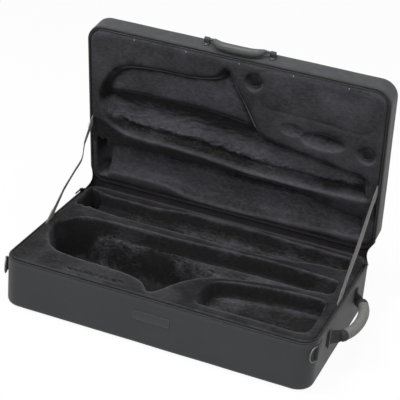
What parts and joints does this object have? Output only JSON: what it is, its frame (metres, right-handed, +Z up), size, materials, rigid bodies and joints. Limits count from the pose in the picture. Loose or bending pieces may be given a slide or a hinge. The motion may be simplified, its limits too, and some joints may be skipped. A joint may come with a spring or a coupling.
{
  "type": "double saxophone case",
  "caption": "Zip-around padded case, standing open, with shaped plush recesses for an alto and a straight soprano saxophone.",
  "frame": {"origin": "centre of the base's flat underside", "axes": "+X along the front to the right, +Y from the front to the hinge, +Z up"},
  "size_m": [0.8018, 0.5004, 0.5849],
  "materials": {
    "shell_nylon": "matte woven charcoal nylon",
    "piping": "black bound edge",
    "zip_tape": "black woven tape",
    "zip_teeth": "black nylon coil",
    "zip_metal": "black plated",
    "plush": "black plush pile",
    "stay_webbing": "grey woven webbing",
    "dark_webbing": "black woven webbing",
    "bracket_plastic": "black moulded plastic",
    "grip": "grey padded grip",
    "ring_metal": "dark nickel",
    "tack_metal": "bright nickel",
    "label": "bare dark patch"
  },
  "bodies": {
    "base": {"accessory_tray": "plush", "base_alto_bed": "plush", "base_bell_pad": "plush", "base_centre_ridge": "plush", "base_floor_pad": "plush", "base_front_pad": "plush", "base_left_pad": "plush", "base_piping": "piping", "base_rear_pad": "plush", "base_right_pad": "plush", "base_shell": "shell_nylon", "base_soprano_bed": "plush", "base_zip_tape": "zip_tape", "base_zip_teeth": "zip_teeth", "end_handle_back_anchor": "dark_webbing", "end_handle_back_tab": "dark_webbing", "end_handle_front_anchor": "dark_webbing", "end_handle_front_tab": "dark_webbing", "hinge_strip": "dark_webbing", "label_patch": "label", "left_ring_tab": "dark_webbing", "left_stay": "stay_webbing", "right_ring_tab": "dark_webbing", "right_stay": "stay_webbing"},
    "lid": {"left_carry_bracket": "bracket_plastic", "left_inner_bracket_rivet": "ring_metal", "left_outer_bracket_rivet": "ring_metal", "lid_backing_pad": "plush", "lid_bell_pad": "plush", "lid_centre_ridge": "plush", "lid_front_pad": "plush", "lid_left_pad": "plush", "lid_lining_button_1": "plush", "lid_lining_button_2": "plush", "lid_piping": "piping", "lid_rear_pad": "plush", "lid_right_pad": "plush", "lid_rim_tack_1": "tack_metal", "lid_rim_tack_2": "tack_metal", "lid_rim_tack_3": "tack_metal", "lid_rim_tack_4": "tack_metal", "lid_rim_tack_5": "tack_metal", "lid_shell": "shell_nylon", "lid_side_pad": "plush", "lid_zip_tape": "zip_tape", "lid_zip_teeth": "zip_teeth", "right_carry_bracket": "bracket_plastic", "right_inner_bracket_rivet": "ring_metal", "right_outer_bracket_rivet": "ring_metal"},
    "carry_handle": {"carry_handle": "grip"},
    "end_handle": {"end_handle_grip": "grip"},
    "left_strap_ring": {"left_strap_ring": "ring_metal"},
    "right_strap_ring": {"right_strap_ring": "ring_metal"},
    "left_zip_slider": {"left_zip_slider": "zip_metal"},
    "right_zip_slider": {"right_zip_slider": "zip_metal"},
    "left_zip_pull": {"left_zip_pull": "zip_metal"},
    "right_zip_pull": {"right_zip_pull": "zip_metal"}
  },
  "joints": [
    {"name": "lid_hinge", "type": "hinge", "parent": "base", "child": "lid", "pos_m": [0, 0.222, 0.126], "axis": [1, 0, 0], "range_deg": [0, 82], "deforming": ["left_stay", "right_stay", "hinge_strip"]},
    {"name": "carry_handle_swing", "type": "hinge", "parent": "lid", "child": "carry_handle", "pos_m": [0, 0.19495, 0.57713], "axis": [-1, 0, 0], "range_deg": [0, 165]},
    {"name": "end_handle_flex", "type": "hinge", "parent": "base", "child": "end_handle", "pos_m": [0.3733, 0, 0.086], "axis": [0, -1, 0], "range_deg": [-25, 25], "deforming": ["end_handle_front_tab", "end_handle_back_tab"]},
    {"name": "left_ring_swing", "type": "hinge", "parent": "base", "child": "left_strap_ring", "pos_m": [-0.37153, -0.19112, 0.094], "axis": [0, 0, -1], "range_deg": [0, 120]},
    {"name": "right_ring_swing", "type": "hinge", "parent": "base", "child": "right_strap_ring", "pos_m": [0.37153, -0.19112, 0.094], "axis": [0, 0, 1], "range_deg": [0, 120]},
    {"name": "left_zip_slide", "type": "slide", "parent": "base", "child": "left_zip_slider", "axis": [0, -1, 0], "range_m": [0, 0.3]},
    {"name": "right_zip_slide", "type": "slide", "parent": "base", "child": "right_zip_slider", "axis": [0, -1, 0], "range_m": [0, 0.3]},
    {"name": "left_pull_swing", "type": "hinge", "parent": "left_zip_slider", "child": "left_zip_pull", "pos_m": [-0.3693, 0.167, 0.126], "axis": [0, 0, -1], "range_deg": [0, 150]},
    {"name": "right_pull_swing", "type": "hinge", "parent": "right_zip_slider", "child": "right_zip_pull", "pos_m": [0.3693, 0.167, 0.126], "axis": [0, 0, 1], "range_deg": [0, 150]}
  ]
}
